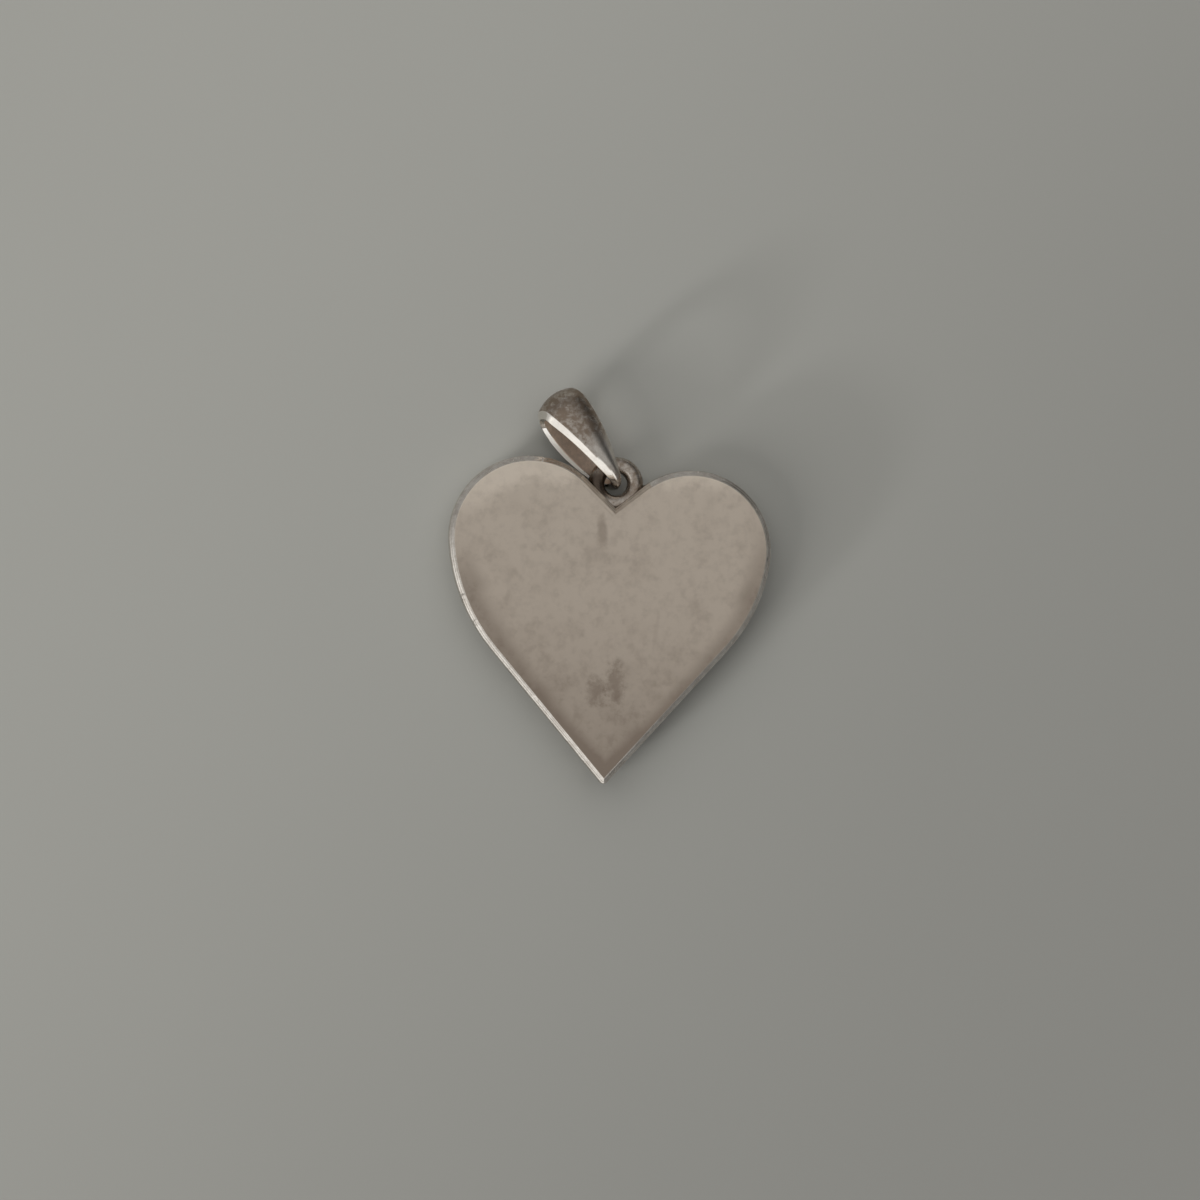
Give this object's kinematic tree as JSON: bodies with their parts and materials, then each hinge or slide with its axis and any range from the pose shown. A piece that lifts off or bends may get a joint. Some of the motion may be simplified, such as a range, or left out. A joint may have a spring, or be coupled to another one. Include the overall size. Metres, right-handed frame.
{
  "type": "heart pendant",
  "caption": "Flat hollow silver heart pendant with a polished rim, an eye ring let into its notch and a tapered swinging bail.",
  "frame": {"origin": "on the flat front face, on the line through the tip and the notch, at half the heart's height", "axes": "+Y from the tip towards the notch, +Z out of the back plate, +X to the right as seen from the back"},
  "size_m": [0.018, 0.022, 0.0036],
  "materials": {
    "polished_silver": "polished",
    "satin_silver": "satin"
  },
  "bodies": {
    "heart": {"front_shell": "polished_silver", "back_plate": "satin_silver", "eye_ring": "polished_silver"},
    "bail": {"bail": "polished_silver"}
  },
  "joints": [
    {"name": "bail_swing", "type": "hinge", "parent": "heart", "child": "bail", "pos_m": [-0.00078, 0.00843, 0.00152], "axis": [0.7118, 0.6066, -0.354], "range_deg": [-55, 80]}
  ]
}
